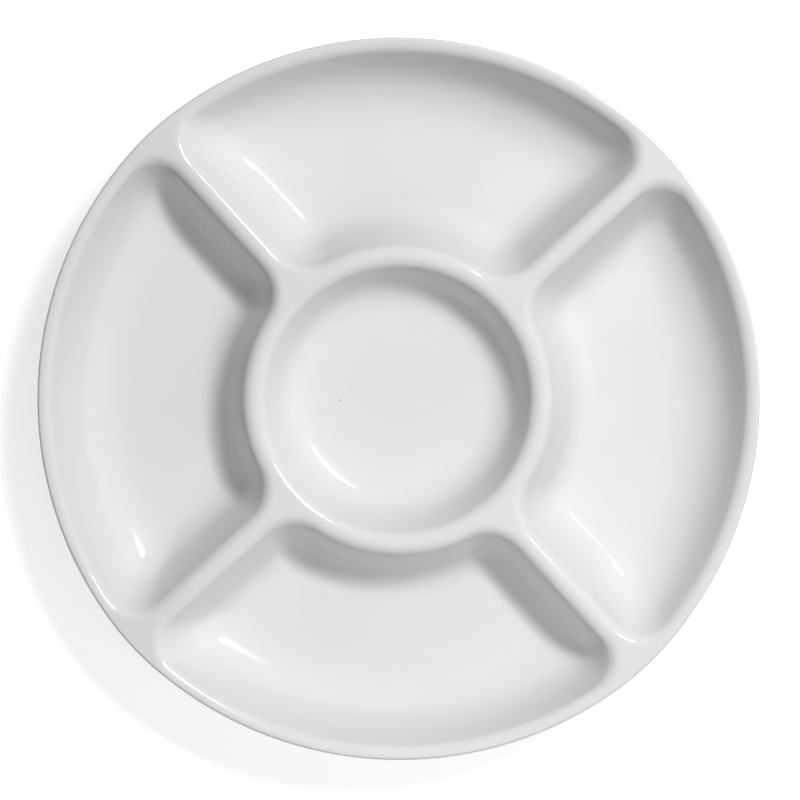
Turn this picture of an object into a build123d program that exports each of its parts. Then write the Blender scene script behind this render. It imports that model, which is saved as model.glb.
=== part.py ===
"""Divided serving bowl: a white glazed ceramic dish with a dip bowl and four compartments around it.

Millimetres, +Z up, origin on the table at the dish's axis. The compartments lie on +X, +Y, -X and -Y,
and the dividers between them on the diagonals. The fired clay and its glaze are separate solids: each
surface is worked out once for the glazed dish and once more for the bare clay, one coat further in.
"""

from build123d import *
from math import atan2, cos, degrees, radians, sin, sqrt, tan
import os

# Overall form
height = 36.0
side_radius = 149.4
rim_swell = 1.3
swell_centre = 30.0
draft = 25.0
wall = 5.0
glaze = 0.4

# Compartments and dip bowl
floor_thickness = 6.0
dip_bowl_depth = 22.0
ring_radius = 59.6
ring_land = 7.3
divider_land = 7.4
compartment_count = 4

# Roundings, as they are on the glazed dish
crest_rounding = 5.4
lip_rounding = 1.2
corner_at_ring = 18.0
corner_at_rim = 14.0
corner_at_floor = 0.35
foot_of_divider = 7.0
foot_of_wall = 28.0
foot_of_dip_bowl = 8.0

# Underside
foot_height = 2.5
foot_width = 5.0
foot_setback = 1.0
foot_bevel = 0.8
relief_top_width = 5.0
relief_top_bevel = 1.8
relief_mouth_rounding = 6.0
relief_corner = 6.0
relief_margin = 4.0

# Worked out from the sizes above
slope_run = tan(radians(draft))
slope_level = 1.0 / cos(radians(draft))
half_corner = tan(radians(45.0 - draft / 2.0))
inner_depth = height - foot_height - floor_thickness
bowl_base_lift = max(0.0, inner_depth - dip_bowl_depth)
quarter = 360.0 / compartment_count
half_quarter = quarter / 2.0
along = Vector(cos(radians(half_quarter)), sin(radians(half_quarter)))
across = Vector(sin(radians(half_quarter)), -cos(radians(half_quarter)))
swell_gap = 1.0 - along.X
side_offset = rim_swell * (2.0 * swell_centre - rim_swell) / (2.0 * (swell_centre * swell_gap - rim_swell))
lip_land = wall * slope_level
lip_inset = lip_rounding / half_corner
lip_edge = side_radius + lip_inset - lip_rounding
land_to_round = min(ring_land / 2.0, divider_land / 2.0, lip_land - lip_inset)
crest_radius = min(crest_rounding, 0.95 * land_to_round / half_corner)
outside_foot_rounding = foot_of_wall + wall
base_radius = lip_edge - (height - foot_height) * slope_run - outside_foot_rounding * half_corner
foot_outer = base_radius - foot_setback
foot_inner = foot_outer - foot_width
relief_roof = (relief_top_width / 2.0 - ring_land / 2.0) / slope_run + wall * slope_level / slope_run
above_crest = crest_rounding
foot_section_gap = 1.0


def wall_inset(depth, floor_depth, rounding, skin):
    """How far an inside wall stands in from its edge at the crest, at a depth below the crest."""
    radius = rounding + skin
    bottom = floor_depth + skin
    straight = bottom - radius * (1.0 - sin(radians(draft)))
    shift = skin * slope_level
    if depth <= straight:
        return depth * slope_run - shift
    lean = max(0.0, 1.0 - (bottom - depth) / radius)
    rise = sqrt(max(0.0, 1.0 - lean * lean))
    return straight * slope_run - shift + radius * (cos(radians(draft)) - rise)


def at_angle(centre, radius, angle):
    """The point of an upright circle at an angle above the horizontal."""
    return centre + radius * Vector(cos(radians(angle)), 0, sin(radians(angle)))


def outside_profile(edge_radius, skin):
    """The outside from its axis over the lip, down the drafted wall and round into the base."""
    lip_centre = Vector(edge_radius - lip_inset, 0, height - lip_rounding)
    foot_reach = edge_radius - lip_edge + base_radius
    foot_centre = Vector(foot_reach, 0, foot_height + outside_foot_rounding)
    lip_radius = lip_rounding - skin
    foot_radius = outside_foot_rounding - skin
    middle_top = Vector(0, 0, height - skin)
    middle_base = Vector(0, 0, foot_height + skin)
    lip_start = at_angle(lip_centre, lip_radius, 90.0)
    lip_middle = at_angle(lip_centre, lip_radius, 45.0 - draft / 2.0)
    lip_end = at_angle(lip_centre, lip_radius, -draft)
    foot_start = at_angle(foot_centre, foot_radius, -draft)
    foot_middle = at_angle(foot_centre, foot_radius, -45.0 - draft / 2.0)
    foot_end = at_angle(foot_centre, foot_radius, -90.0)
    return make_face(
        [
            Line(middle_top, lip_start),
            ThreePointArc(lip_start, lip_middle, lip_end),
            Line(lip_end, foot_start),
            ThreePointArc(foot_start, foot_middle, foot_end),
            Line(foot_end, middle_base),
            Line(middle_base, middle_top),
        ]
    )


def outside_form(skin):
    """The outside as if it were solid, turned in long sides and in a tighter swell at each divider."""
    touch = along * swell_centre + Vector(side_offset, 0)
    side_angle = degrees(atan2(touch.Y, touch.X))
    swell_angle = half_quarter - side_angle
    side_profile = outside_profile(lip_edge + side_offset, skin)
    swell_profile = outside_profile(lip_edge + rim_swell - swell_centre, skin)
    side = Rotation(0, 0, -side_angle) * revolve(side_profile, Axis.Z, 2.0 * side_angle)
    swell = Rotation(0, 0, side_angle) * revolve(swell_profile, Axis.Z, 2.0 * swell_angle)
    sector = Pos(-side_offset, 0) * side + Pos(along * swell_centre) * swell
    form = sector
    for index in range(1, compartment_count):
        form += Rotation(0, 0, index * quarter) * sector
    return form


def compartment_outline(depth, skin):
    """The +X compartment seen from above at a depth below the crest, with rounded corners."""
    side = divider_land / 2.0 + wall_inset(depth, inner_depth, foot_of_divider, skin)
    inner = ring_radius + ring_land / 2.0 + wall_inset(depth, inner_depth, foot_of_divider, skin)
    outer = lip_edge + side_offset - lip_land - wall_inset(depth, inner_depth, foot_of_wall, skin)
    inner_reach = sqrt(inner * inner - side * side)
    offset_line = across * side + Vector(side_offset, 0)
    lean = along.dot(offset_line)
    outer_reach = sqrt(lean * lean - offset_line.dot(offset_line) + outer * outer) - lean
    inner_end = along * inner_reach + across * side
    outer_end = along * outer_reach + across * side
    mirror_inner = Vector(inner_end.X, -inner_end.Y)
    mirror_outer = Vector(outer_end.X, -outer_end.Y)
    edges = [
        Line(inner_end, outer_end),
        ThreePointArc(outer_end, (outer - side_offset, 0), mirror_outer),
        Line(mirror_outer, mirror_inner),
        ThreePointArc(mirror_inner, (inner, 0), inner_end),
    ]
    face = make_face(edges)
    floor_inset = wall_inset(inner_depth, inner_depth, foot_of_divider, 0.0)
    share = (side - divider_land / 2.0 + skin * slope_level) / floor_inset
    tightening = 1.0 - (1.0 - corner_at_floor) * min(share, 1.0)
    face = fillet(face.vertices().group_by(Axis.X)[0], corner_at_ring * tightening + skin * slope_level)
    return fillet(face.vertices().group_by(Axis.X)[-1], corner_at_rim * tightening + skin * slope_level)


def compartment_space(skin):
    """The space inside the +X compartment: straight drafted walls above, rounded into a flat floor below."""
    bottom = inner_depth + skin
    steep = 90.0 - draft
    tight = min(foot_of_divider, foot_of_wall)
    wide = max(foot_of_divider, foot_of_wall)

    def depth_at(rounding, slope):
        return bottom - (rounding + skin) * (1.0 - cos(radians(slope)))

    def section_at(depth):
        return Pos(0, 0, height - depth) * compartment_outline(depth, skin)

    walls_end = depth_at(wide, steep)
    tight_start = depth_at(tight, steep)
    depths = [depth_at(wide, steep * (1.0 - step / 9.0)) for step in range(9)]
    depths = [depth for depth in depths if depth < tight_start - foot_section_gap]
    depths += [depth_at(tight, steep * (1.0 - step / 5.0)) for step in range(6)]
    walls = loft([section_at(-above_crest), section_at(walls_end)], ruled=True)
    return walls + loft([section_at(depth) for depth in depths])


def dip_bowl_space(skin):
    """The space inside the round dip bowl, turned about the dish's axis."""
    radius = foot_of_dip_bowl + skin
    bottom = dip_bowl_depth + skin
    straight = bottom - radius * (1.0 - sin(radians(draft)))
    halfway = bottom - radius * (1.0 - cos(radians((90.0 - draft) / 2.0)))

    def on_wall(depth):
        inset = wall_inset(depth, dip_bowl_depth, foot_of_dip_bowl, skin)
        return Vector(ring_radius - ring_land / 2.0 - inset, 0, height - depth)

    middle_top = Vector(0, 0, height + above_crest)
    middle_floor = Vector(0, 0, height - bottom)
    profile = make_face(
        [
            Line(middle_top, on_wall(-above_crest)),
            Line(on_wall(-above_crest), on_wall(straight)),
            ThreePointArc(on_wall(straight), on_wall(halfway), on_wall(bottom)),
            Line(on_wall(bottom), middle_floor),
            Line(middle_floor, middle_top),
        ]
    )
    return revolve(profile, Axis.Z)


def relief_half_width(land, skin):
    """Half the width, at the table, of the hollow under a ridge, so that its walls keep one thickness."""
    return land / 2.0 + height * slope_run - (wall - skin) * slope_level


def relief_space(skin):
    """The hollow under the ring and the dividers, which keeps the clay about one thickness throughout."""
    ring_half = relief_half_width(ring_land, skin)
    finger_half = relief_half_width(divider_land, skin)
    reach = foot_inner - relief_margin + skin * slope_level
    finger = Pos((reach - finger_half) / 2.0, 0) * Rectangle(reach - finger_half, 2.0 * finger_half)
    finger += Pos(reach - finger_half, 0) * Circle(finger_half)
    star = Circle(ring_radius + ring_half)
    for index in range(compartment_count):
        star += Rotation(0, 0, half_quarter + index * quarter) * finger
    corner = relief_corner - skin * slope_level
    star = offset(offset(star, corner), -corner)
    star -= Circle(ring_radius - ring_half)
    space = extrude(star, amount=height - relief_roof + skin, taper=draft)
    half_angle = radians(45.0 + draft / 2.0)
    bevel = relief_top_bevel + skin * (1.0 / sin(half_angle) - 1.0) / cos(half_angle)
    return chamfer(space.edges().group_by(Axis.Z)[-1], bevel)


def dish(skin):
    """The dish in one coat of glaze (skin 0) or as bare clay (skin equal to the glaze)."""
    form = outside_form(skin) - dip_bowl_space(skin)
    space = compartment_space(skin)
    for index in range(compartment_count):
        form -= Rotation(0, 0, index * quarter) * space
    top_edges = form.edges().group_by(Axis.Z)[-1]
    lip_middle = lip_edge - lip_inset - (lip_land - lip_inset) / 2.0
    form = fillet([e for e in top_edges if reach_of(e) < lip_middle], crest_radius - skin)
    base_level = foot_height + skin
    bowl_base_level = base_level + bowl_base_lift
    form -= relief_space(skin)
    form -= Pos(0, 0, bowl_base_level / 2.0) * Cylinder(ring_radius, bowl_base_level)
    mouth_edges = [e for e in edges_at(form, base_level) if ring_radius < reach_of(e) < foot_inner]
    mouth_edges += [e for e in edges_at(form, bowl_base_level) if reach_of(e) < ring_radius]
    return fillet(mouth_edges, relief_mouth_rounding - skin)


def edges_at(form, level):
    """The edges of a form that lie at one level."""
    return form.edges().filter_by_position(Axis.Z, level - 0.01, level + 0.01)


def reach_of(edge):
    """How far from the dish's axis an edge's middle lies."""
    middle = edge @ 0.5
    return sqrt(middle.X * middle.X + middle.Y * middle.Y)


def foot_ring():
    """The bare ring that the dish stands on."""
    ring = Circle(foot_outer) - Circle(foot_inner)
    foot = extrude(ring, amount=foot_height + floor_thickness / 2.0)
    return chamfer(foot.edges().group_by(Axis.Z)[0], foot_bevel)


os.makedirs("parts", exist_ok=True)
bare_dish = dish(glaze)
foot = foot_ring()
clay_body = bare_dish + foot
coats = (dish(0.0) - bare_dish - foot).solids().sort_by(lambda coat: coat.bounding_box().size.X)
base_glaze = coats[0]
glaze_coat = coats[-1]
export_step(clay_body, "parts/clay_body.step")
export_step(glaze_coat, "parts/glaze_coat.step")
export_step(base_glaze, "parts/base_glaze.step")
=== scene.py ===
"""Divided serving bowl: the looks of a white glazed dip dish, built on its CAD frame.

Metres, +Z up, the dish's axis at the origin. The glaze is laid as two flat sheets, one for the inside,
rim and outside and one for the base, and Geometry Nodes lift each by the rule that shapes the dish.
"""

import logging
import math
from abc import ABC, abstractmethod
from dataclasses import dataclass
from enum import Enum
from functools import partialmethod
from typing import Callable, Iterable, Optional, Union

import bmesh
import bpy
from mathutils import Matrix, Vector


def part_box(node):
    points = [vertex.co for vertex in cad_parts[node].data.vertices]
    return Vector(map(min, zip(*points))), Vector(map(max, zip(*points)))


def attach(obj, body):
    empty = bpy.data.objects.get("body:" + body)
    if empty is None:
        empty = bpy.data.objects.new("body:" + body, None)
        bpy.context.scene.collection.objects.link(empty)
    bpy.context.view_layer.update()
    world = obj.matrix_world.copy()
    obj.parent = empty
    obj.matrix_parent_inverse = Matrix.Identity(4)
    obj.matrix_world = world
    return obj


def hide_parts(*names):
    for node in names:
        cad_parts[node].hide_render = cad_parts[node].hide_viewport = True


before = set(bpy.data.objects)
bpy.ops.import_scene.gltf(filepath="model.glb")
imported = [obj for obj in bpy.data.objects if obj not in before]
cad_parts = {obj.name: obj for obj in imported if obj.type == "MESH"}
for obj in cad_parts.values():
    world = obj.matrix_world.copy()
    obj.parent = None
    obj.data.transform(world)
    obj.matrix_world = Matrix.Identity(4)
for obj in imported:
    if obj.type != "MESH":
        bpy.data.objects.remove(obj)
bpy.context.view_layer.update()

SHARP_ANGLE = math.radians(50.0)
WHITE = (1.0, 1.0, 1.0, 1.0)
LOG = logging.getLogger("serving_bowl")

Colour = tuple[float, float, float]
Row = tuple[float, float, float]
Step = tuple[float, float]
Socket = bpy.types.NodeSocket
Inputs = dict[Union[int, str], object]


class SheetNumber(str, Enum):
    """Numbers that each point of a flat sheet carries for its rule, in the order they are written."""

    PLAN = "plan_radius"
    LEVEL = "level"
    OUTSIDE = "outside"
    STRIP = "strip"
    SPREAD = "spread"
    HAND = "hand"
    DIVIDER = "divider_angle"


class GlazeMark(str, Enum):
    """Numbers that the rules leave on the glaze for its finish."""

    CREST = "crest"
    POOL = "pool"


class Slot(str, Enum):
    """Material slots of the record."""

    GLAZE = "white_glaze"
    CLAY = "bare_clay"


# Node trees and formulas


class NodeSheet:
    """A node tree, written node by node."""

    def __init__(self, tree: bpy.types.NodeTree) -> None:
        """Keeps the tree that the nodes are added to."""
        self.tree = tree

    def fill(self, node: bpy.types.Node, inputs: Inputs) -> None:
        """Links or sets a node's inputs.

        Args:
            node: The node.
            inputs: A socket to link or a value to set, by each input's name or place.
        """
        for key, value in inputs.items():
            if isinstance(value, Socket):
                self.tree.links.new(value, node.inputs[key])
            else:
                node.inputs[key].default_value = value

    def node(self, kind: str, inputs: Optional[Inputs] = None, **settings: object) -> bpy.types.Node:
        """Adds one node.

        Args:
            kind: Type of the node.
            inputs: Its inputs, to link or set.
            settings: Its properties, which are set first.

        Returns:
            The node.
        """
        made = self.tree.nodes.new(kind)
        for key, value in settings.items():
            setattr(made, key, value)
        self.fill(made, inputs or {})
        return made


@dataclass(frozen=True)
class Term:
    """One number of a formula, held as an output socket of a node tree."""

    sheet: NodeSheet
    socket: Socket

    def apply(self, operation: str, *others: "Number") -> "Term":
        """Adds one math node.

        Args:
            operation: Name of the node's operation.
            others: The operands after this one.

        Returns:
            The node's result.
        """
        operands = enumerate((self, *others))
        inputs = {place: item.socket if isinstance(item, Term) else item for place, item in operands}
        return Term(self.sheet, self.sheet.node("ShaderNodeMath", inputs, operation=operation).outputs[0])

    # Plain operations, one math node each. A number below another gives 1, and 0 elsewhere.
    __add__ = __radd__ = partialmethod(apply, "ADD")
    __sub__ = partialmethod(apply, "SUBTRACT")
    __mul__ = __rmul__ = partialmethod(apply, "MULTIPLY")
    __truediv__ = partialmethod(apply, "DIVIDE")
    least = partialmethod(apply, "MINIMUM")
    most = partialmethod(apply, "MAXIMUM")
    below = partialmethod(apply, "LESS_THAN")
    size = partialmethod(apply, "ABSOLUTE")
    sine = partialmethod(apply, "SINE")
    cosine = partialmethod(apply, "COSINE")

    def __rsub__(self, other: float) -> "Term":
        """A constant less this number."""
        return self * -1.0 + other

    def within(self, low: "Number", high: "Number") -> "Term":
        """This number held between two limits."""
        return self.most(low).least(high)

    def root(self) -> "Term":
        """The square root, of nought where the number is negative."""
        return self.most(0.0).apply("SQRT")

    def choose(self, where_one: "Number", where_zero: "Number") -> "Term":
        """One of two numbers, where this one is 1 or 0."""
        return self * (where_one - where_zero) + where_zero

    def band(self, middle: float, reach: float) -> "Term":
        """1 at one value of this number, fading to 0 at a distance from it on both sides."""
        return (1.0 - (self - middle).size() / reach).within(0.0, 1.0)


Number = Union[Term, float]


def rounded_least(first: Term, second: Term, rounding: Number) -> Term:
    """The smaller of two insets, with the corner between them rounded.

    Args:
        first: How far a point lies in from one wall.
        second: How far it lies in from the other wall.
        rounding: Radius of the corner.

    Returns:
        How far the point lies in from the rounded outline.
    """
    gap = first - second
    near = gap.size().below(rounding)
    rounded = (first + second) * 0.5 - rounding + (rounding * rounding * 2.0 - gap * gap).root() * 0.5
    return near.choose(rounded, first.least(second))


# Sizes


@dataclass(frozen=True)
class DishSizes:
    """The dish's sizes. Overall sizes come from the CAD frame, and the others repeat the part's own.

    Two don't: the feet of the dividers and of the dip bowl are as wide as the glaze shows them in the
    photograph, while the part's clay turns in more tightly below.
    """

    height: float
    side_radius: float
    rim_swell: float = 0.0013
    swell_centre: float = 0.030
    draft: float = math.radians(25.0)
    wall: float = 0.005
    glaze: float = 0.0004
    floor_thickness: float = 0.006
    dip_bowl_depth: float = 0.022
    ring_radius: float = 0.0596
    ring_land: float = 0.0073
    divider_land: float = 0.0074
    compartments: int = 4
    crest_rounding: float = 0.0054
    lip_rounding: float = 0.0012
    corner_at_ring: float = 0.018
    corner_at_rim: float = 0.014
    corner_at_floor: float = 0.35
    foot_of_divider: float = 0.014
    foot_of_wall: float = 0.028
    foot_of_dip_bowl: float = 0.015
    foot_height: float = 0.0025
    foot_width: float = 0.005
    foot_setback: float = 0.001
    relief_top_width: float = 0.005
    relief_top_rounding: float = 0.003
    relief_mouth_rounding: float = 0.006
    relief_corner: float = 0.006
    relief_margin: float = 0.004

    @property
    def slope_run(self) -> float:
        """How far a wall leans for each unit of height."""
        return math.tan(self.draft)

    @property
    def half_corner(self) -> float:
        """Tangent of half the angle through which a crest turns."""
        return math.tan(math.pi / 4.0 - self.draft / 2.0)

    @property
    def half_quarter(self) -> float:
        """Angle from a divider to the middle of the compartment beside it."""
        return math.pi / self.compartments

    @property
    def floor_depth(self) -> float:
        """Depth of the compartments' floors below the crests."""
        return self.height - self.foot_height - self.floor_thickness

    @property
    def bowl_base_lift(self) -> float:
        """How far the base under the dip bowl lies above the rest of the base."""
        return max(0.0, self.floor_depth - self.dip_bowl_depth)

    @property
    def side_offset(self) -> float:
        """How far behind the dish's axis the long side arcs have their centre."""
        gap = self.swell_centre * (1.0 - math.cos(self.half_quarter)) - self.rim_swell
        return self.rim_swell * (2.0 * self.swell_centre - self.rim_swell) / (2.0 * gap)

    @property
    def swell_start(self) -> float:
        """Where the rim's side arc passes into the swell.

        Returns:
            The angle of that place from a compartment's middle.
        """
        across = self.swell_centre * math.sin(self.half_quarter)
        along = self.swell_centre * math.cos(self.half_quarter) + self.side_offset
        reach = (self.lip_edge + self.side_offset) / math.hypot(along, across)
        return math.atan2(reach * across, reach * along - self.side_offset)

    @property
    def lip_land(self) -> float:
        """Width of the rim at the crest, between the edges that its roundings take off."""
        return self.wall / math.cos(self.draft)

    @property
    def lip_inset(self) -> float:
        """How far in from the outer edge the rim's rounding starts."""
        return self.lip_rounding / self.half_corner

    @property
    def lip_edge(self) -> float:
        """Radius of the rim's outer edge, before it is rounded."""
        return self.side_radius + self.lip_inset - self.lip_rounding

    @property
    def wall_edge(self) -> float:
        """Radius of the compartments' outer edge at the crest."""
        return self.lip_edge - self.lip_land

    @property
    def outside_foot(self) -> float:
        """Radius of the wide rounding between the outside and the base."""
        return self.foot_of_wall + self.wall

    @property
    def base_radius(self) -> float:
        """Radius at which the outside has become the flat base."""
        drop = (self.height - self.foot_height) * self.slope_run
        return self.lip_edge - drop - self.outside_foot * self.half_corner

    @property
    def foot_outer(self) -> float:
        """Outer radius of the bare foot ring."""
        return self.base_radius - self.foot_setback

    @property
    def foot_inner(self) -> float:
        """Inner radius of the bare foot ring."""
        return self.foot_outer - self.foot_width

    @property
    def relief_rise(self) -> float:
        """Height of the hollow under the ring and dividers above the base."""
        roof = (self.relief_top_width / 2.0 - self.ring_land / 2.0 + self.lip_land) / self.slope_run
        return self.height - self.foot_height - roof

    @property
    def relief_reach(self) -> float:
        """Radius at which the hollow under the dividers ends."""
        return self.foot_inner - self.relief_margin - self.foot_height * self.slope_run

    def relief_half_width(self, land: float, lift: float = 0.0) -> float:
        """Half the width of the hollow under a ridge of a given land, at a lift above the base."""
        return land / 2.0 + (self.height - self.foot_height - lift) * self.slope_run - self.lip_land


@dataclass(frozen=True)
class SlopeShape:
    """One drafted wall from its rounded crest to its rounded foot."""

    crest: float
    foot: float
    depth: float
    draft: float
    thin_share: float = 0.3

    @property
    def tail(self) -> float:
        """How far behind the edge the crest's rounding starts."""
        return self.crest * math.tan(math.pi / 4.0 - self.draft / 2.0)

    @property
    def straight(self) -> float:
        """Depth at which the straight wall passes into its foot."""
        return self.depth - self.foot * (1.0 - math.sin(self.draft))

    @property
    def crest_end(self) -> float:
        """Inset at which the crest passes into the straight wall."""
        return self.crest * math.cos(self.draft) - self.tail

    @property
    def thinnest(self) -> float:
        """Inset at which the glaze runs thinnest over the crest."""
        return self.crest_end * self.thin_share

    @property
    def foot_start(self) -> float:
        """Inset at which the straight wall passes into its foot."""
        return self.straight * math.tan(self.draft)

    @property
    def foot_end(self) -> float:
        """Inset at which the foot passes into the floor."""
        return self.foot_start + self.foot * math.cos(self.draft)

    def insets(self, crest_steps: int, wall_steps: int, foot_steps: int) -> list[float]:
        """Insets that step evenly round the crest, down the wall and round the foot.

        Args:
            crest_steps: Steps round the crest.
            wall_steps: Steps down the straight wall.
            foot_steps: Steps round the foot.

        Returns:
            The insets, from the land to the floor.
        """
        turn = math.pi / 2.0 - self.draft
        made = [self.crest * math.sin(turn * i / crest_steps) - self.tail for i in range(crest_steps)]
        made += spaced(self.crest_end, self.foot_start, wall_steps)[:-1]
        for index in range(foot_steps + 1):
            angle = self.draft + turn * index / foot_steps
            made.append(self.foot_start + self.foot * (math.cos(self.draft) - math.cos(angle)))
        return made

    def depth_rule(self, inset: Term) -> Term:
        """Writes the wall's depth below its crest as math nodes.

        Args:
            inset: How far a point lies in from the wall's edge.

        Returns:
            The depth at that point.
        """
        reach = self.foot * math.cos(self.draft)
        round_the_crest = (inset + self.tail).within(0.0, self.crest * math.cos(self.draft))
        round_the_foot = reach - (inset - self.foot_start).within(0.0, reach)
        crest_drop = self.crest - (self.crest**2 - round_the_crest * round_the_crest).root()
        down_the_wall = inset.within(self.crest_end, self.foot_start) - self.crest_end
        wall_drop = down_the_wall / math.tan(self.draft)
        foot_top = self.foot * math.sin(self.draft)
        foot_drop = (self.foot**2 - round_the_foot * round_the_foot).root() - foot_top
        return crest_drop + wall_drop + foot_drop

    def inset_rule(self, depth: Term) -> Term:
        """Writes the inset at which this wall has a given depth as math nodes.

        Args:
            depth: The depth below the crest.

        Returns:
            The inset.
        """
        run = math.tan(self.draft)
        past = (depth - self.straight).most(0.0) + self.foot * math.sin(self.draft)
        round_the_foot = self.foot * math.cos(self.draft) - (self.foot**2 - past * past).root()
        return depth.least(self.straight) * run + round_the_foot


@dataclass(frozen=True)
class PlanPoint:
    """A point seen from above, by its distances along a divider and across from it."""

    along: Number
    across: Number


@dataclass(frozen=True)
class CornerShape:
    """The rounded corner between a divider and a round wall, which tightens towards the floor."""

    rounding: float
    floor_share: float
    floor_inset: float
    outwards: float
    passes: int = 4
    ease: float = 0.9

    def inset_rule(
        self,
        point: PlanPoint,
        least: Term,
        half_land: Term,
        middle: PlanPoint,
        reach: Callable[[Term, Term], Term],
    ) -> Term:
        """Writes how far a point lies in from the rounded outline, closer with each pass.

        Args:
            point: The point.
            least: The smaller of its insets from the two walls.
            half_land: Half the width of the divider's crest.
            middle: The round wall's centre.
            reach: How far the corner's centre lies from the round wall's, by inset and rounding.

        Returns:
            The point's inset.
        """
        inset = least
        tightening = self.rounding * (1.0 - self.floor_share) / self.floor_inset
        for _ in range(self.passes):
            rounding = self.rounding - inset.within(0.0, self.floor_inset) * tightening - inset.least(0.0)
            centre_across = half_land + inset + rounding
            aside = centre_across - middle.across
            swing = reach(inset, rounding)
            ahead = (swing * swing - aside * aside).root()
            gap_along = point.along - middle.along - ahead
            gap_across = point.across - centre_across
            distance = (gap_along * gap_along + gap_across * gap_across).root()
            turned = (point.across - middle.across) * ahead - (point.along - middle.along) * aside
            in_corner = (gap_along * -self.outwards).below(0.0) * turned.below(0.0)
            inset = in_corner.choose(inset + (rounding - distance) * self.ease, least)
        return inset


def spaced(start: float, end: float, steps: int) -> list[float]:
    """Even steps from a start to an end, both included."""
    return [start + (end - start) * index / steps for index in range(steps + 1)]


def arc_steps(middle: Step, radius: float, turns: list[float]) -> list[Step]:
    """Insets and heights round an arc in section, at angles from straight outwards."""
    inset, level = middle
    return [(inset - radius * math.cos(turn), level + radius * math.sin(turn)) for turn in turns]


# Geometry node trees


class CoatTree(NodeSheet):
    """A geometry node tree that lifts a flat sheet to a glazed surface."""

    def __init__(self, name: str) -> None:
        """Makes an empty tree with a sheet going in and a surface coming out.

        Args:
            name: Name of the tree.
        """
        super().__init__(bpy.data.node_groups.new(name, "GeometryNodeTree"))
        for socket, way in (("Sheet", "INPUT"), ("Surface", "OUTPUT")):
            self.tree.interface.new_socket(socket, in_out=way, socket_type="NodeSocketGeometry")
        self.group_in = self.node("NodeGroupInput")
        self.geometry = self.group_in.outputs["Sheet"]
        self.values: dict[str, float] = {}

    def size(self, name: str, value: float) -> Term:
        """Adds a named input for one size.

        Args:
            name: Name of the input.
            value: Its value, in metres or radians.

        Returns:
            The input as a number of the formula.
        """
        socket = self.tree.interface.new_socket(name, in_out="INPUT", socket_type="NodeSocketFloat")
        self.values[socket.identifier] = value
        return Term(self, self.group_in.outputs[name])

    def read(self, number: SheetNumber) -> Term:
        """A number that the sheet's points carry."""
        made = self.node("GeometryNodeInputNamedAttribute", {"Name": number.value}, data_type="FLOAT")
        return Term(self, made.outputs["Attribute"])

    def store(self, mark: GlazeMark, number: Term) -> None:
        """Lets the surface's points carry a number.

        Args:
            mark: What the number marks.
            number: The number.
        """
        inputs = {"Name": mark.value, "Geometry": self.geometry, "Value": number.socket}
        made = self.node("GeometryNodeStoreNamedAttribute", inputs, data_type="FLOAT", domain="POINT")
        self.geometry = made.outputs["Geometry"]

    def from_divider(self, radius: Term, hold: float, half_quarter: float) -> Term:
        """Each point's angle from its divider, held within a radius so that columns meet the axis."""
        turned = (self.read(SheetNumber.STRIP) / radius.most(hold)).apply("ARCSINE")
        return turned + self.read(SheetNumber.SPREAD) * (half_quarter - turned)

    def place(self, radius: Term, from_divider: Term, level: Term) -> None:
        """Moves the sheet's points.

        Args:
            radius: Each point's radius.
            from_divider: Its angle from the divider beside it.
            level: Its height.
        """
        angle = self.read(SheetNumber.DIVIDER) + self.read(SheetNumber.HAND) * from_divider
        across = radius * angle.cosine()
        along = radius * angle.sine()
        inputs = {"X": across.socket, "Y": along.socket, "Z": level.socket}
        position = self.node("ShaderNodeCombineXYZ", inputs).outputs[0]
        inputs = {"Geometry": self.geometry, "Position": position}
        self.geometry = self.node("GeometryNodeSetPosition", inputs).outputs["Geometry"]

    def close(self, material: bpy.types.Material) -> None:
        """Ends the tree in real geometry with a material.

        Args:
            material: The material.
        """
        real = self.node("GeometryNodeRealizeInstances", {"Geometry": self.geometry})
        inputs = {"Geometry": real.outputs["Geometry"], "Material": material}
        dressed = self.node("GeometryNodeSetMaterial", inputs)
        self.node("NodeGroupOutput", {"Surface": dressed.outputs["Geometry"]})


# Finishes


@dataclass(frozen=True)
class Pattern:
    """A noise pattern: its waves for each metre, its finer layers and how strong those are."""

    scale: float
    detail: float = 2.0
    roughness: float = 0.5


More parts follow.
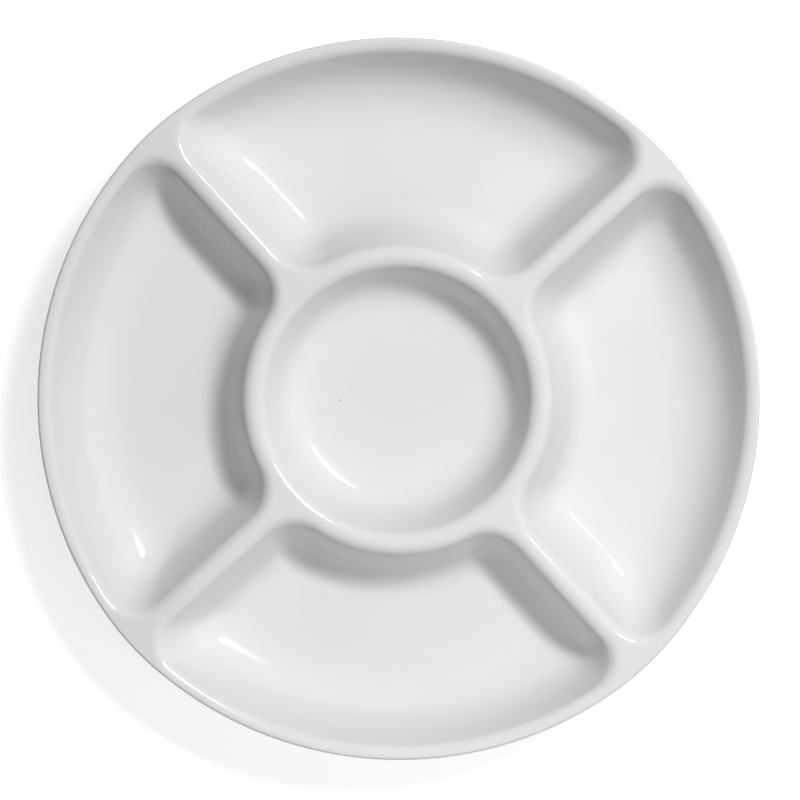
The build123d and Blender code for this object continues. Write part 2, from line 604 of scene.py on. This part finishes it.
class ShaderSheet(NodeSheet):
    """A material's node tree."""

    middle_range = (0.3, 0.7)
    # Places of the Mix node's colours, which share their names with its other sockets
    mix_colours = (6, 7)
    mix_result = 2

    def __init__(self, name: str) -> None:
        """Makes a material that holds one Principled shader.

        Args:
            name: Name of the material.
        """
        self.material = bpy.data.materials.new(name)
        self.material.use_nodes = True
        super().__init__(self.material.node_tree)
        self.shader = self.tree.nodes["Principled BSDF"]
        self.place = self.node("ShaderNodeTexCoord").outputs["Object"]

    def noise(self, pattern: Pattern) -> Socket:
        """A noise pattern over the object's own coordinates, with values about a half."""
        inputs = {"Scale": pattern.scale, "Detail": pattern.detail, "Roughness": pattern.roughness}
        return self.node("ShaderNodeTexNoise", {**inputs, "Vector": self.place}).outputs["Fac"]

    def spread(self, pattern: Pattern, low: float = 0.0, high: float = 1.0) -> Socket:
        """Maps the middle range of a noise pattern onto a range of values.

        Args:
            pattern: The pattern.
            low: Value at the lower end of the middle range.
            high: Value at its upper end.

        Returns:
            The mapped value.
        """
        least, most = self.middle_range
        inputs = {"From Min": least, "From Max": most, "To Min": low, "To Max": high}
        inputs["Value"] = self.noise(pattern)
        return self.node("ShaderNodeMapRange", inputs).outputs["Result"]

    def times(self, source: Socket, factor: Union[float, Socket]) -> Socket:
        """Multiplies a value by a number or by another value."""
        return self.node("ShaderNodeMath", {0: source, 1: factor}, operation="MULTIPLY").outputs[0]

    def carried(self, mark: GlazeMark) -> Socket:
        """A number that the piece's points carry."""
        return self.node("ShaderNodeAttribute", attribute_name=mark.value).outputs["Fac"]

    def blend(self, amount: Socket, under: Union[Colour, Socket], over: Union[Colour, Socket]) -> Socket:
        """Mixes two colours.

        Args:
            amount: How much of the second colour shows.
            under: The first colour.
            over: The second colour.

        Returns:
            The mixed colour.
        """
        inputs: Inputs = {"Factor": amount}
        for place, colour in zip(self.mix_colours, (under, over)):
            inputs[place] = (*colour, 1.0) if isinstance(colour, tuple) else colour
        return self.node("ShaderNodeMix", inputs, data_type="RGBA").outputs[self.mix_result]

    def bump(self, pattern: Pattern, height: float, under: Optional[Socket] = None) -> Socket:
        """Raises a noise pattern as a bump.

        Args:
            pattern: The pattern.
            height: Its height in metres.
            under: The normal that it stands on, or None for the plain surface.

        Returns:
            The bumped normal.
        """
        inputs: Inputs = {"Distance": height, "Height": self.noise(pattern)}
        if under is not None:
            inputs["Normal"] = under
        return self.node("ShaderNodeBump", inputs).outputs["Normal"]


@dataclass(frozen=True)
class GlazeFinish:
    """Thick white gloss glaze with slow waves, fine pitting and a few iron specks."""

    name: str
    white: Colour = (0.715, 0.715, 0.713)
    milky: Colour = (0.735, 0.735, 0.733)
    thin: Colour = (0.70, 0.698, 0.693)
    pooled: Colour = (0.705, 0.707, 0.708)
    speck: Colour = (0.10, 0.075, 0.055)
    refraction: float = 1.52
    tone: Pattern = Pattern(22.0, 3.0)
    pool_share: float = 0.7
    wear: Pattern = Pattern(60.0, 4.0)
    wear_low: float = 0.05
    wear_high: float = 0.5
    sheen: Pattern = Pattern(40.0, 3.0)
    sheen_low: float = 0.07
    sheen_high: float = 0.12
    waves: Pattern = Pattern(70.0, 1.0)
    wave_height: float = 0.00022
    pits: Pattern = Pattern(650.0, 2.0)
    pit_height: float = 0.000012
    speck_cell: float = 0.016
    speck_size: float = 0.0004
    speck_share: float = 0.8

    def material(self) -> bpy.types.Material:
        """Builds the glaze's material.

        Returns:
            The material.
        """
        sheet = ShaderSheet(self.name)
        colour = sheet.blend(sheet.spread(self.tone), self.white, self.milky)
        pool = sheet.times(sheet.carried(GlazeMark.POOL), self.pool_share)
        colour = sheet.blend(pool, colour, self.pooled)
        wear = sheet.spread(self.wear, self.wear_low, self.wear_high)
        colour = sheet.blend(sheet.times(sheet.carried(GlazeMark.CREST), wear), colour, self.thin)
        colour = sheet.blend(self.specks(sheet), colour, self.speck)
        waves = sheet.bump(self.waves, self.wave_height)
        inputs = {
            "Base Color": colour,
            "Roughness": sheet.spread(self.sheen, self.sheen_low, self.sheen_high),
            "IOR": self.refraction,
            "Normal": sheet.bump(self.pits, self.pit_height, waves),
        }
        sheet.fill(sheet.shader, inputs)
        return sheet.material

    def specks(self, sheet: ShaderSheet) -> Socket:
        """Marks a few tiny round specks in the glaze.

        Args:
            sheet: The material's node tree.

        Returns:
            1 in a speck, and 0 elsewhere.
        """
        inputs = {"Scale": 1.0 / self.speck_cell, "Vector": sheet.place}
        cells = sheet.node("ShaderNodeTexVoronoi", inputs).outputs
        limit = sheet.times(cells["Color"], self.speck_size / self.speck_cell)
        inside = sheet.node("ShaderNodeMath", {0: cells["Distance"], 1: limit}, operation="LESS_THAN")
        return sheet.times(inside.outputs[0], self.speck_share)


@dataclass(frozen=True)
class BareClayFinish:
    """Fired clay without glaze: matte, fine-grained and scuffed where the dish stands."""

    name: str
    pale: Colour = (0.66, 0.62, 0.55)
    dark: Colour = (0.57, 0.52, 0.45)
    scuffed: Colour = (0.33, 0.31, 0.29)
    tone: Pattern = Pattern(900.0, 4.0, 0.7)
    scuffs: Pattern = Pattern(160.0, 5.0, 0.65)
    scuff_share: float = 0.6
    scuff_height: float = 0.0012
    matte: Pattern = Pattern(300.0, 3.0)
    matte_low: float = 0.78
    matte_high: float = 0.95
    grain: Pattern = Pattern(2200.0, 3.0, 0.7)
    grain_height: float = 0.00006

    def material(self) -> bpy.types.Material:
        """Builds the bare clay's material.

        Returns:
            The material.
        """
        sheet = ShaderSheet(self.name)
        colour = sheet.blend(sheet.spread(self.tone), self.pale, self.dark)
        height = sheet.node("ShaderNodeSeparateXYZ", {0: sheet.place}).outputs["Z"]
        inputs = {"Value": height, "From Min": self.scuff_height, "From Max": 0.0}
        standing = sheet.node("ShaderNodeMapRange", inputs).outputs["Result"]
        patches = sheet.times(sheet.spread(self.scuffs, high=self.scuff_share), standing)
        inputs = {
            "Base Color": sheet.blend(patches, colour, self.scuffed),
            "Roughness": sheet.spread(self.matte, self.matte_low, self.matte_high),
            "Normal": sheet.bump(self.grain, self.grain_height),
        }
        sheet.fill(sheet.shader, inputs)
        return sheet.material


# The glazed dish


@dataclass
class Coat(ABC):
    """A coat of glass, laid as a flat sheet of rows and columns that a rule lifts."""

    sizes: DishSizes
    finish: GlazeFinish
    node: str
    faces_down: bool = False
    crest_steps: int = 8
    wall_steps: int = 8
    foot_steps: int = 10
    floor_steps: int = 10
    spread_steps: int = 18

    @abstractmethod
    def rows(self) -> list[Row]:
        """Rows of the sheet from its middle to the foot ring."""

    @abstractmethod
    def across(self) -> list[float]:
        """Distances from a divider's middle line at which columns run along it."""

    @abstractmethod
    def rule(self) -> CoatTree:
        """Writes the rule that lifts the sheet."""

    def steps(self, slope: SlopeShape) -> list[float]:
        """Insets at which rows or columns cross a wall."""
        return slope.insets(self.crest_steps, self.wall_steps, self.foot_steps)

    def columns(self) -> Iterable[tuple[float, float, float, float]]:
        """Goes once round the dish, from one compartment's middle over each divider to the next.

        Yields:
            Each column's distance from the divider, its share of the way on to the compartment's
            middle, its side of the divider and the divider's angle.
        """
        across = self.across()
        strips = [(distance, 0.0) for distance in across]
        strips += [(across[-1], share) for share in spaced(0.0, 1.0, self.spread_steps)[1:]]
        for index in range(self.sizes.compartments):
            divider = self.sizes.half_quarter * (2 * index + 1)
            for strip, spread in reversed(strips):
                yield strip, spread, -1.0, divider
            for strip, spread in strips[1:-1]:
                yield strip, spread, 1.0, divider

    def flat_sheet(self) -> bpy.types.Object:
        """Lays the flat sheet, closed at its middle and all round.

        Returns:
            The sheet's object, with the numbers that its rule reads on every point.
        """
        columns = list(self.columns())
        sheet = bmesh.new()
        layers = [sheet.verts.layers.float.new(number.value) for number in SheetNumber]

        def point(numbers: tuple[float, ...]) -> bmesh.types.BMVert:
            """Adds a point to the sheet.

            Args:
                numbers: The numbers that it carries, in the order of the layers.

            Returns:
                The point.
            """
            vert = sheet.verts.new((0.0, 0.0, 0.0))
            for layer, number in zip(layers, numbers):
                vert[layer] = number
            return vert

        middle = point((0.0,) * len(layers))
        rings = [[point((*row, *column)) for column in columns] for row in self.rows()]
        for index in range(len(columns)):
            after = (index + 1) % len(columns)
            sheet.faces.new((middle, rings[0][index], rings[0][after]))
            for inner, outer in zip(rings, rings[1:]):
                sheet.faces.new((inner[index], outer[index], outer[after], inner[after]))
        mesh = bpy.data.meshes.new(f"{self.node}_surface")
        sheet.to_mesh(mesh)
        sheet.free()
        if self.faces_down:
            mesh.flip_normals()
        made = bpy.data.objects.new(mesh.name, mesh)
        bpy.context.scene.collection.objects.link(made)
        return made

    def build(self) -> bpy.types.Object:
        """Lifts the sheet by its rule, gives it its thickness and lets it stand for the CAD node.

        Returns:
            The finished piece.
        """
        sheet = self.flat_sheet()
        rule = self.rule()
        lift = sheet.modifiers.new("lift", "NODES")
        lift.node_group = rule.tree
        for identifier, value in rule.values.items():
            lift[identifier] = value
        thicken = sheet.modifiers.new("thicken", "SOLIDIFY")
        thicken.thickness = self.sizes.glaze
        thicken.offset = -1.0
        thicken.use_even_offset = True
        bpy.context.view_layer.update()
        shaped = sheet.evaluated_get(bpy.context.evaluated_depsgraph_get())
        mesh = bpy.data.meshes.new_from_object(shaped)
        sheet.modifiers.clear()
        flat = sheet.data
        sheet.data = mesh
        bpy.data.meshes.remove(flat)
        mesh.name = sheet.name
        mesh.polygons.foreach_set("use_smooth", [True] * len(mesh.polygons))
        mesh.set_sharp_from_angle(angle=SHARP_ANGLE)
        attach(sheet, "root")
        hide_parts(self.node)
        return sheet


@dataclass
class GlazeCoat(Coat):
    """The glass coat over the inside, the rim and the outside, down to the foot ring."""

    node: str = "glaze_coat"
    strip_hold: float = 0.050
    swell_hold: float = 0.100

    def slope(self, foot: float) -> SlopeShape:
        """A compartment's wall with a given rounding at its foot."""
        return SlopeShape(self.sizes.crest_rounding, foot, self.sizes.floor_depth, self.sizes.draft)

    def bowl_slope(self) -> SlopeShape:
        """The wall of the dip bowl."""
        s = self.sizes
        return SlopeShape(s.crest_rounding, s.foot_of_dip_bowl, s.dip_bowl_depth, s.draft)

    def rows(self) -> list[Row]:
        """Rows over the dip bowl, the ring, a compartment and the rim, and down the outside.

        Returns:
            Each row's plan radius, height and whether it is on the outside.
        """
        s = self.sizes
        ring_in = s.ring_radius - s.ring_land / 2.0
        ring_out = s.ring_radius + s.ring_land / 2.0
        bowl = self.steps(self.bowl_slope())
        ring = self.steps(self.slope(s.foot_of_divider))
        rim = self.steps(self.slope(s.foot_of_wall))
        plan = spaced(0.0, ring_in - bowl[-1], self.floor_steps)[1:]
        plan += [ring_in - inset for inset in reversed(bowl[:-1])]
        plan += [s.ring_radius]
        plan += [ring_out + inset for inset in ring]
        plan += spaced(ring_out + ring[-1], s.wall_edge - rim[-1], self.floor_steps)[1:]
        plan += [s.wall_edge - inset for inset in reversed(rim[:-1])]
        made = [(radius, 0.0, 0.0) for radius in plan]
        return made + [(s.lip_edge - inset, level, 1.0) for inset, level in self.outside_steps()]

    def outside_steps(self) -> list[Step]:
        """Steps round the lip, down the outside and along the base.

        Returns:
            Each step's inset from the lip's edge, and its height.
        """
        s = self.sizes
        upright = math.pi / 2.0
        lip_middle = (s.lip_inset, s.height - s.lip_rounding)
        foot_middle = (s.lip_edge - s.base_radius, s.foot_height + s.outside_foot)
        lip = arc_steps(lip_middle, s.lip_rounding, spaced(upright, -s.draft, self.foot_steps))
        foot = arc_steps(foot_middle, s.outside_foot, spaced(-s.draft, -upright, self.foot_steps))
        ends = zip(lip[-1], foot[0])
        wall = zip(*(spaced(start, end, self.floor_steps)[1:-1] for start, end in ends))
        return lip + list(wall) + foot + [(s.lip_edge - s.foot_outer, s.foot_height)]

    def across(self) -> list[float]:
        """Steps over a divider's crest and down its wall.

        Returns:
            Each step's distance from the divider's middle line.
        """
        half_land = self.sizes.divider_land / 2.0
        on_wall = [half_land + inset for inset in self.steps(self.slope(self.sizes.foot_of_divider))]
        return [0.0, on_wall[0] / 2.0, *on_wall]

    def rule(self) -> CoatTree:
        """Writes the rule for the inside, and takes the outside's heights from the rows.

        Returns:
            The finished geometry node tree.
        """
        s = self.sizes
        coat = CoatTree("glaze_coat_rule")
        height = coat.size("Height", s.height)
        lip_edge = coat.size("Lip Edge", s.lip_edge)
        lip_land = coat.size("Lip Land", s.lip_land)
        ring_radius = coat.size("Ring Radius", s.ring_radius)
        ring_land = coat.size("Ring Land", s.ring_land)
        divider_land = coat.size("Divider Land", s.divider_land)
        offset = coat.size("Side Offset", s.side_offset)
        swell = coat.size("Rim Swell", s.rim_swell)
        swell_centre = coat.size("Swell Centre", s.swell_centre)
        plan = coat.read(SheetNumber.PLAN)
        outside = coat.read(SheetNumber.OUTSIDE)
        from_divider = coat.from_divider(plan, self.strip_hold, s.half_quarter)
        from_middle = s.half_quarter - from_divider
        side_arc = lip_edge + offset
        swell_arc = lip_edge + swell - swell_centre
        on_side = self.arc_reach(side_arc, offset * -1.0, from_middle)
        on_swell = self.arc_reach(swell_arc, swell_centre, from_divider)
        rim = from_middle.below(s.swell_start).choose(on_side, on_swell)
        share = ((plan - self.swell_hold) / (s.lip_edge - s.lip_inset - self.swell_hold)).within(0.0, 1.0)
        radius = plan + (rim - lip_edge) * share
        half_land = divider_land * 0.5
        ring_edge = ring_radius + ring_land * 0.5
        rim_arc = side_arc - lip_land
        point = PlanPoint(radius * from_divider.cosine(), radius * from_divider.sine())
        from_side = point.across - half_land
        from_ring = radius - ring_edge
        along = radius * from_middle.cosine() + offset
        across = radius * from_middle.sine()
        from_rim = rim_arc - (along * along + across * across).root()
        divider_slope = self.slope(s.foot_of_divider)
        rim_slope = self.slope(s.foot_of_wall)
        past_foot = (from_rim - rim_slope.foot_end).most(0.0)
        as_divider = divider_slope.inset_rule(rim_slope.depth_rule(from_rim)) + past_foot
        rim_inset = from_rim.below(rim_slope.crest_end).choose(from_rim, as_divider)

        def past_ring(inset: Term, rounding: Term) -> Term:
            """How far from the axis a corner beside the ring has its centre."""
            return ring_edge + inset + rounding

        def within_rim(inset: Term, rounding: Term) -> Term:
            """Places the centre of a corner beside the rim.

            Args:
                inset: How far the corner lies in from the divider's edge.
                rounding: The corner's radius.

            Returns:
                How far the corner's centre lies from the side arc's.
            """
            past = (inset - divider_slope.foot_end).most(0.0)
            on_wall = rim_slope.inset_rule(divider_slope.depth_rule(inset)) + past
            return rim_arc - inset.below(divider_slope.crest_end).choose(inset, on_wall) - rounding

        floor_inset = divider_slope.foot_end
        by_ring = CornerShape(s.corner_at_ring, s.corner_at_floor, floor_inset, -1.0)
        by_rim = CornerShape(s.corner_at_rim, s.corner_at_floor, floor_inset, 1.0, passes=9, ease=0.5)
        axis = PlanPoint(0.0, 0.0)
        side_middle = PlanPoint(offset * -math.cos(s.half_quarter), offset * -math.sin(s.half_quarter))
        least = from_side.least(from_ring)
        near_ring = by_ring.inset_rule(point, least, half_land, axis, past_ring)
        least = from_side.least(rim_inset)
        near_rim = by_rim.inset_rule(point, least, half_land, side_middle, within_rim)
        inset = near_ring.least(near_rim)
        bowl_inset = ring_radius - ring_land * 0.5 - radius
        in_bowl = radius.below(ring_radius)
        bowl_depth = self.bowl_slope().depth_rule(bowl_inset)
        depth = in_bowl.choose(bowl_depth, divider_slope.depth_rule(inset))
        level = outside.choose(coat.read(SheetNumber.LEVEL), height - depth)
        coat.place(radius, from_divider, level)
        inside = 1.0 - outside
        shown_inset = in_bowl.choose(bowl_inset, inset)
        crest_band = shown_inset.band(divider_slope.thinnest, s.crest_rounding)
        coat.store(GlazeMark.CREST, crest_band * inside)
        foot_middle = (divider_slope.foot_start + divider_slope.foot_end) / 2.0
        coat.store(GlazeMark.POOL, shown_inset.band(foot_middle, s.foot_of_divider) * inside)
        coat.close(self.finish.material())
        return coat

    @staticmethod
    def arc_reach(arc: Term, centre: Term, angle: Term) -> Term:
        """How far from the axis an arc lies, at an angle from the line through its own centre."""
        aside = centre * angle.sine()
        return centre * angle.cosine() + (arc * arc - aside * aside).root()


@dataclass
class BaseGlaze(Coat):
    """The patch of glass inside the foot ring, with the hollow under the ring and dividers."""

    node: str = "base_glaze"
    faces_down: bool = True
    crest_steps: int = 6
    wall_steps: int = 5
    foot_steps: int = 5
    floor_steps: int = 5
    spread_steps: int = 10
    margin_steps: int = 3
    row_gap: float = 0.0005
    strip_hold: float = 0.040

    def slope(self, lift: float = 0.0) -> SlopeShape:
        """The hollow's wall, from its rounded mouth, at a lift above the base, to its rounded roof."""
        s = self.sizes
        return SlopeShape(s.relief_mouth_rounding, s.relief_top_rounding, s.relief_rise - lift, s.draft)

    def rows(self) -> list[Row]:
        """Rows over the base under the dip bowl, the hollow under the ring and the rest of the base.

        Returns:
            Each row's plan radius, height and whether it is on the outside.
        """
        s = self.sizes
        insets = self.steps(self.slope())
        lifted = self.steps(self.slope(s.bowl_base_lift))
        half = s.relief_half_width(s.ring_land)
        inner_edge = s.ring_radius - s.relief_half_width(s.ring_land, s.bowl_base_lift)
        reach = s.relief_reach
        plan = spaced(0.0, inner_edge + lifted[0], self.floor_steps)[1:]
        plan += [inner_edge + inset for inset in lifted[1:]]
        plan += [s.ring_radius + half - inset for inset in reversed(insets)]
        plan += [reach - inset for inset in reversed(insets) if reach - inset > plan[-1] + self.row_gap]
        plan += spaced(reach - insets[0], s.foot_inner, self.margin_steps)[1:]
        return [(radius, 0.0, 0.0) for radius in plan]

    def across(self) -> list[float]:
        """Distances over the hollow under a divider, up to its mouth."""
        half = self.sizes.relief_half_width(self.sizes.divider_land)
        return [0.0, *(half - inset for inset in reversed(self.steps(self.slope())))]

    def rule(self) -> CoatTree:
        """Writes the rule that lifts the sheet into the hollow.

        Returns:
            The finished geometry node tree.
        """
        s = self.sizes
        base = CoatTree("base_glaze_rule")
        foot_height = base.size("Foot Height", s.foot_height)
        ring_radius = base.size("Ring Radius", s.ring_radius)
        lift = base.size("Lift Under Dip Bowl", s.bowl_base_lift)
        ring_half = base.size("Hollow Half Width at Ring", s.relief_half_width(s.ring_land))
        finger_half = base.size("Hollow Half Width at Divider", s.relief_half_width(s.divider_land))
        reach = base.size("Hollow Reach", s.relief_reach)
        corner = base.size("Hollow Corner", s.relief_corner)
        radius = base.read(SheetNumber.PLAN)
        from_divider = base.from_divider(radius, self.strip_hold, s.half_quarter)
        past_end = (radius * from_divider.cosine() - (reach - finger_half)).most(0.0)
        aside = radius * from_divider.sine()
        in_finger = finger_half - (past_end * past_end + aside * aside).root()
        in_ring = ring_half - (radius - ring_radius).size()
        outer = rounded_least(in_finger * -1.0, in_ring * -1.0, corner) * -1.0
        under_bowl = radius.below(ring_radius)
        in_bowl_side = in_ring - lift * s.slope_run
        inset = under_bowl.choose(in_bowl_side, outer)
        slope = self.slope()
        bowl_rise = lift + self.slope(s.bowl_base_lift).depth_rule(in_bowl_side)
        rise = under_bowl.choose(bowl_rise, slope.depth_rule(outer))
        base.place(radius, from_divider, foot_height + rise)
        base.store(GlazeMark.CREST, inset.band(slope.thinnest, s.relief_mouth_rounding))
        base.store(GlazeMark.POOL, inset.band(slope.foot_end, s.relief_mouth_rounding))
        base.close(self.finish.material())
        return base


@dataclass
class ClayBody:
    """The fired clay under the glaze, which shows only at the foot ring."""

    finish: BareClayFinish
    node: str = "clay_body"

    def build(self) -> bpy.types.Object:
        """Dresses the CAD node, which keeps its own mesh.

        Returns:
            The node's object.
        """
        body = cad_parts[self.node]
        body.data.materials.clear()
        body.data.materials.append(self.finish.material())
        return body


# The studio


def direction(azimuth: float, elevation: float) -> Vector:
    """The way to a place, by its angle about the dish's axis and its angle above the table."""
    level = math.cos(elevation)
    return Vector((level * math.cos(azimuth), level * math.sin(azimuth), math.sin(elevation)))


@dataclass(frozen=True)
class SoftBox:
    """An oval studio lamp that looks at the dish, and that shows in the glaze where it is mirrored."""

    name: str
    azimuth: float
    elevation: float
    strength: float
    distance: float = 1.3
    width: float = 0.9
    height: float = 0.9
    mirrored: bool = False

    def build(self) -> None:
        """Makes the lamp."""
        lamp = bpy.data.lights.new(self.name, "AREA")
        lamp.shape = "ELLIPSE"
        lamp.size = self.width
        lamp.size_y = self.height
        lamp.energy = self.strength
        made = bpy.data.objects.new(self.name, lamp)
        made.visible_camera = False
        made.visible_glossy = self.mirrored
        out = direction(self.azimuth, self.elevation)
        made.location = out * self.distance
        made.rotation_euler = out.to_track_quat("Z", "Y").to_euler()
        bpy.context.scene.collection.objects.link(made)


@dataclass
class Studio:
    """The pale floor, the lamps and the camera straight above the dish."""

    sizes: DishSizes
    picture: float = 800.0
    dish_in_picture: float = 363.4
    middle_across: float = 397.5
    middle_down: float = 399.9
    turn: float = math.radians(2.75)
    lean: float = math.radians(2.0)
    lean_towards: float = math.radians(47.75)
    camera_distance: float = 1.10
    camera_range: float = 20.0
    floor_width: float = 4.0
    floor_pattern: Pattern = Pattern(30.0)
    floor_roughness: float = 0.9
    floor_dark: Colour = (0.52, 0.52, 0.52)
    floor_pale: Colour = (0.54, 0.54, 0.54)
    floor_lift: float = 0.74

    def build(self) -> None:
        """Makes the floor, the lamps, the world and the camera."""
        self.floor()
        self.world()
        for lamp in self.lamps():
            lamp.build()
        self.camera()
        bpy.context.scene.view_settings.view_transform = "Standard"

    def lamps(self) -> list[SoftBox]:
        """Lists the key lamp at the upper right and three weaker ones that only fill the shade.

        Returns:
            The lamps, not yet built.
        """
        key = SoftBox(
            "key_lamp",
            azimuth=self.turn + math.radians(45.0),
            elevation=math.radians(55.0),
            strength=14.0,
            width=0.45,
            height=0.2,
            mirrored=True,
        )
        near = SoftBox(
            "near_lamp",
            azimuth=self.turn + math.radians(277.0),
            elevation=math.radians(60.0),
            strength=0.45,
            distance=0.4,
            width=0.3,
            height=0.3,
        )
        low = math.radians(40.0)
        right = SoftBox("right_lamp", azimuth=self.turn - math.radians(3.0), elevation=low, strength=0.9)
        far = SoftBox("far_lamp", azimuth=self.turn + math.radians(87.0), elevation=low, strength=0.8)
        return [key, right, far, near]

    def floor(self) -> None:
        """Lays a plain floor that looks white to the camera but keeps the dish's shadow."""
        half = self.floor_width / 2.0
        mesh = bpy.data.meshes.new("studio_floor")
        corners = [(-half, -half, 0.0), (half, -half, 0.0), (half, half, 0.0), (-half, half, 0.0)]
        mesh.from_pydata(corners, [], [(0, 1, 2, 3)])
        made = bpy.data.objects.new("studio_floor", mesh)
        bpy.context.scene.collection.objects.link(made)
        mesh.materials.append(self.floor_material())

    def floor_material(self) -> bpy.types.Material:
        """Mixes a matte pale paint with a little light of its own for the camera and for reflections.

        Returns:
            The paint's material.
        """
        sheet = ShaderSheet("studio_floor_paint")
        inputs = {
            "Base Color": sheet.blend(sheet.noise(self.floor_pattern), self.floor_dark, self.floor_pale),
            "Roughness": self.floor_roughness,
            "Emission Color": WHITE,
            "Emission Strength": sheet.times(self.background_rays(sheet), self.floor_lift),
        }
        sheet.fill(sheet.shader, inputs)
        return sheet.material

    def world(self) -> None:
        """Hangs a white backdrop for the camera and for reflections, which lights nothing else."""
        world = bpy.data.worlds.new("studio_world")
        world.use_nodes = True
        sheet = NodeSheet(world.node_tree)
        inputs = {"Color": WHITE, "Strength": self.background_rays(sheet)}
        sheet.fill(sheet.tree.nodes["Background"], inputs)
        bpy.context.scene.world = world

    @staticmethod
    def background_rays(sheet: NodeSheet) -> Socket:
        """Finds the rays that show a background: from the camera, off a mirror and through glass.

        Args:
            sheet: The node tree that asks.

        Returns:
            1 for such a ray, and 0 for any other.
        """
        path = sheet.node("ShaderNodeLightPath").outputs
        seen = path["Is Camera Ray"]
        for ray in ("Is Glossy Ray", "Is Transmission Ray"):
            seen = sheet.node("ShaderNodeMath", {0: seen, 1: path[ray]}, operation="MAXIMUM").outputs[0]
        return seen

    def camera(self) -> None:
        """Puts the camera above the dish, where the photograph was taken from."""
        s = self.sizes
        data = bpy.data.cameras.new("camera")
        made = bpy.data.objects.new("camera", data)
        bpy.context.scene.collection.objects.link(made)
        rim_reach = s.side_radius + s.rim_swell / 2.0
        seen_width = self.picture * rim_reach / self.dish_in_picture
        data.lens = data.sensor_width * self.camera_distance / seen_width
        right = direction(self.turn, 0.0)
        back = direction(self.lean_towards, math.pi / 2.0 - self.lean)
        up = back.cross(right).normalized()
        right = up.cross(back).normalized()
        aim = Vector((0.0, 0.0, s.height))
        place = aim + back * self.camera_distance
        made.matrix_world = Matrix.Translation(place) @ Matrix((right, up, back)).transposed().to_4x4()
        data.shift_x = (self.picture / 2.0 - self.middle_across) / self.picture
        data.shift_y = (self.middle_down - self.picture / 2.0) / self.picture
        data.clip_end = self.camera_range
        bpy.context.scene.camera = made


def main() -> None:
    """Builds the dish piece by piece, then the studio, and logs each piece's count of faces."""
    logging.basicConfig(level=logging.INFO, format="%(name)s: %(message)s")
    _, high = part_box("glaze_coat")
    sizes = DishSizes(height=high.z, side_radius=high.x)
    makers = (
        ClayBody(BareClayFinish(Slot.CLAY.value)),
        GlazeCoat(sizes, GlazeFinish(Slot.GLAZE.value)),
        BaseGlaze(sizes, GlazeFinish("white_base_glaze")),
    )
    for maker in makers:
        piece = maker.build()
        LOG.info("%s: %d faces", piece.name, len(piece.data.polygons))
    Studio(sizes).build()


if __name__ == "__main__":
    main()
